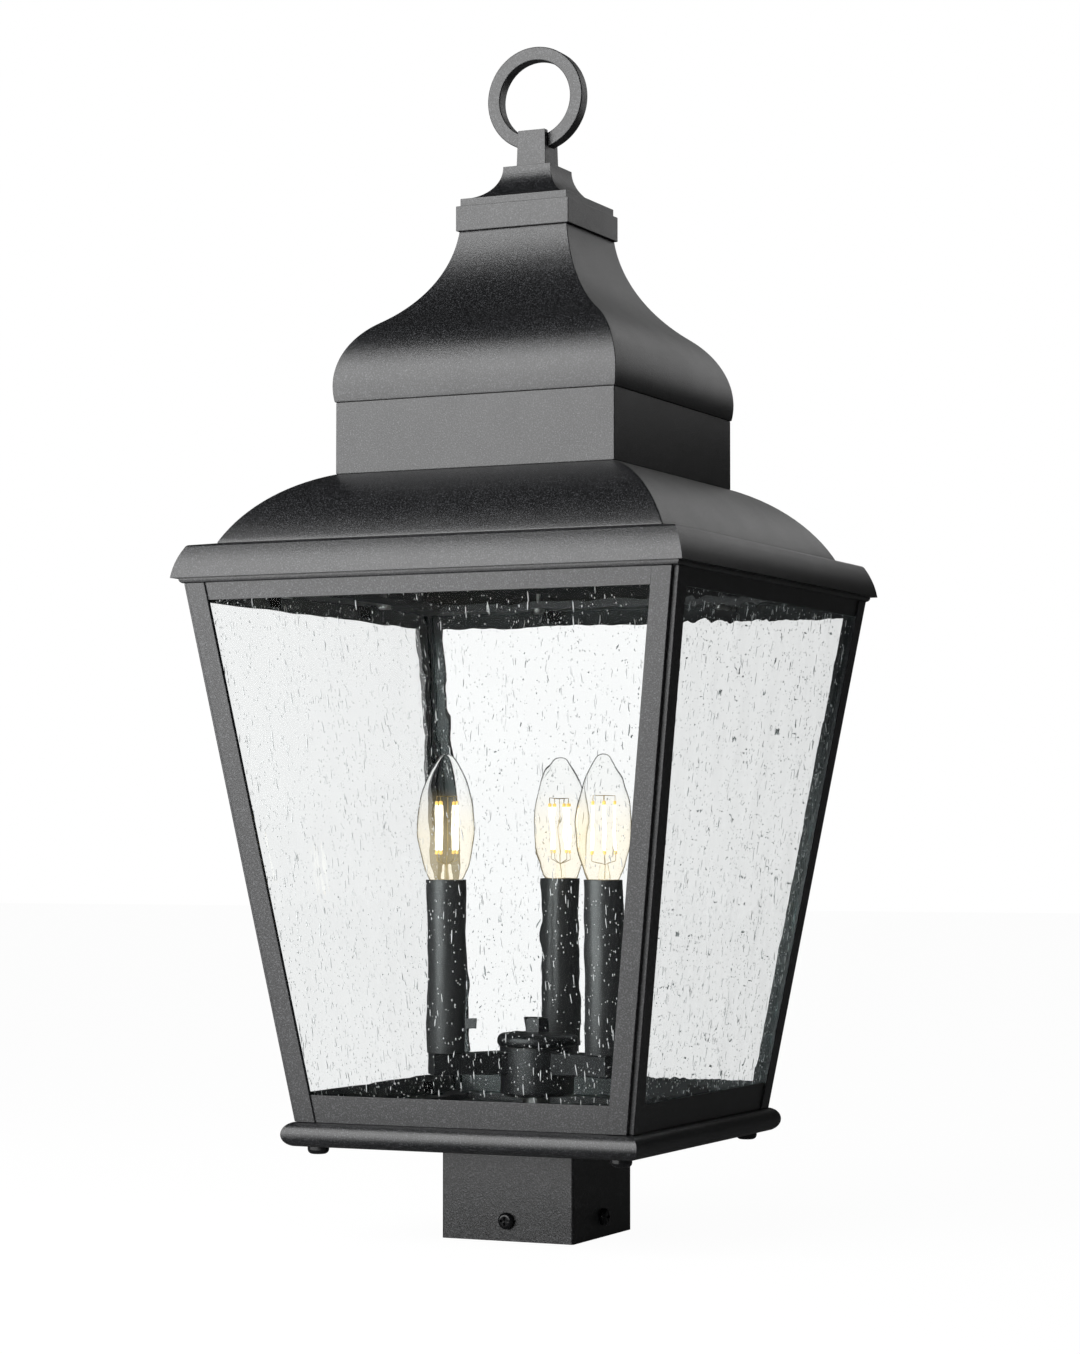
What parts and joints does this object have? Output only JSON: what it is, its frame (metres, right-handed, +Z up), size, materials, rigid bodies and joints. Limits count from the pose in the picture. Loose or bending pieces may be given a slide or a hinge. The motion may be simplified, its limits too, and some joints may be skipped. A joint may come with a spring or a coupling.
{
  "type": "post top lantern",
  "caption": "Square tapered outdoor lantern for the top of a post, with an ogee roof, a ring finial, seeded glass panes and a cluster of candle lamps.",
  "frame": {"origin": "centre of the square bottom rim of the post fitter, where the lantern stands on a flat surface", "axes": "+Z up along the lantern, -Y is the front face, +X to the right seen from the front"},
  "size_m": [0.3048, 0.3048, 0.6797],
  "materials": {
    "lantern_black": "fine textured powder coat, low sheen",
    "candle_black": "fine textured powder coat, low sheen",
    "screw_black": "black oxide, glossy",
    "zinc_steel": "zinc plated, satin",
    "seeded_glass": "clear, with small seeds and drawn waves",
    "bulb_clear": "clear, thin",
    "bulb_brass": "bright rolled thread",
    "filament": "phosphor-coated filament, lit",
    "socket_plastic": "moulded phenolic, matte"
  },
  "bodies": {
    "base": {"base_roll": "lantern_black", "base_tray": "lantern_black", "post_fitter": "lantern_black", "fitter_screws": "zinc_steel", "hub_body": "lantern_black", "hub_cap": "lantern_black", "hub_nut": "lantern_black", "hub_stem": "zinc_steel", "stem_spacer": "zinc_steel", "stem_locknut": "zinc_steel", "socket_stems": "zinc_steel", "arm_1": "lantern_black", "arm_2": "lantern_black", "arm_3": "lantern_black", "candle_sleeve_1": "candle_black", "candle_sleeve_2": "candle_black", "candle_sleeve_3": "candle_black", "lamp_socket_1": "socket_plastic", "lamp_socket_2": "socket_plastic", "lamp_socket_3": "socket_plastic"},
    "cage": {"cage_bottom_frame": "lantern_black", "cage_top_frame": "lantern_black", "corner_post_front_right": "lantern_black", "corner_post_back_right": "lantern_black", "corner_post_back_left": "lantern_black", "corner_post_front_left": "lantern_black", "glass_front": "seeded_glass", "glass_right": "seeded_glass", "glass_back": "seeded_glass", "glass_left": "seeded_glass", "glass_clips": "screw_black", "eave_moulding": "lantern_black", "roof_screws": "zinc_steel", "lower_roof": "lantern_black", "neck_box": "lantern_black", "upper_hood": "lantern_black", "cap_collar": "lantern_black", "finial_base": "lantern_black", "finial_stud": "zinc_steel", "finial_nut": "zinc_steel", "finial_block": "lantern_black", "finial_ring": "lantern_black"},
    "cage_screw_front_right": {"cage_screw_front_right": "screw_black"},
    "cage_screw_back_right": {"cage_screw_back_right": "screw_black"},
    "cage_screw_back_left": {"cage_screw_back_left": "screw_black"},
    "cage_screw_front_left": {"cage_screw_front_left": "screw_black"},
    "clamp_screw_front": {"clamp_screw_front": "screw_black"},
    "clamp_screw_right": {"clamp_screw_right": "screw_black"},
    "clamp_screw_back": {"clamp_screw_back": "screw_black"},
    "clamp_screw_left": {"clamp_screw_left": "screw_black"},
    "bulb_1": {"bulb_glass_1": "bulb_clear", "bulb_cap_1": "bulb_brass", "bulb_filament_1": "filament"},
    "bulb_2": {"bulb_glass_2": "bulb_clear", "bulb_cap_2": "bulb_brass", "bulb_filament_2": "filament"},
    "bulb_3": {"bulb_glass_3": "bulb_clear", "bulb_cap_3": "bulb_brass", "bulb_filament_3": "filament"}
  },
  "joints": [
    {"name": "cage_lift", "type": "slide", "parent": "base", "child": "cage", "axis": [0, 0, 1], "range_m": [0, 0.24]},
    {"name": "cage_screw_front_right_out", "type": "slide", "parent": "base", "child": "cage_screw_front_right", "axis": [0, 0, -1], "range_m": [0, 0.018]},
    {"name": "cage_screw_back_right_out", "type": "slide", "parent": "base", "child": "cage_screw_back_right", "axis": [0, 0, -1], "range_m": [0, 0.018]},
    {"name": "cage_screw_back_left_out", "type": "slide", "parent": "base", "child": "cage_screw_back_left", "axis": [0, 0, -1], "range_m": [0, 0.018]},
    {"name": "cage_screw_front_left_out", "type": "slide", "parent": "base", "child": "cage_screw_front_left", "axis": [0, 0, -1], "range_m": [0, 0.018]},
    {"name": "clamp_screw_front_out", "type": "slide", "parent": "base", "child": "clamp_screw_front", "axis": [0, -1, 0], "range_m": [0, 0.008]},
    {"name": "clamp_screw_right_out", "type": "slide", "parent": "base", "child": "clamp_screw_right", "axis": [1, 0, 0], "range_m": [0, 0.008]},
    {"name": "clamp_screw_back_out", "type": "slide", "parent": "base", "child": "clamp_screw_back", "axis": [0, 1, 0], "range_m": [0, 0.008]},
    {"name": "clamp_screw_left_out", "type": "slide", "parent": "base", "child": "clamp_screw_left", "axis": [-1, 0, 0], "range_m": [0, 0.008]},
    {"name": "bulb_1_out", "type": "slide", "parent": "base", "child": "bulb_1", "axis": [0, 0, 1], "range_m": [0, 0.03]},
    {"name": "bulb_2_out", "type": "slide", "parent": "base", "child": "bulb_2", "axis": [0, 0, 1], "range_m": [0, 0.03]},
    {"name": "bulb_3_out", "type": "slide", "parent": "base", "child": "bulb_3", "axis": [0, 0, 1], "range_m": [0, 0.03]}
  ]
}
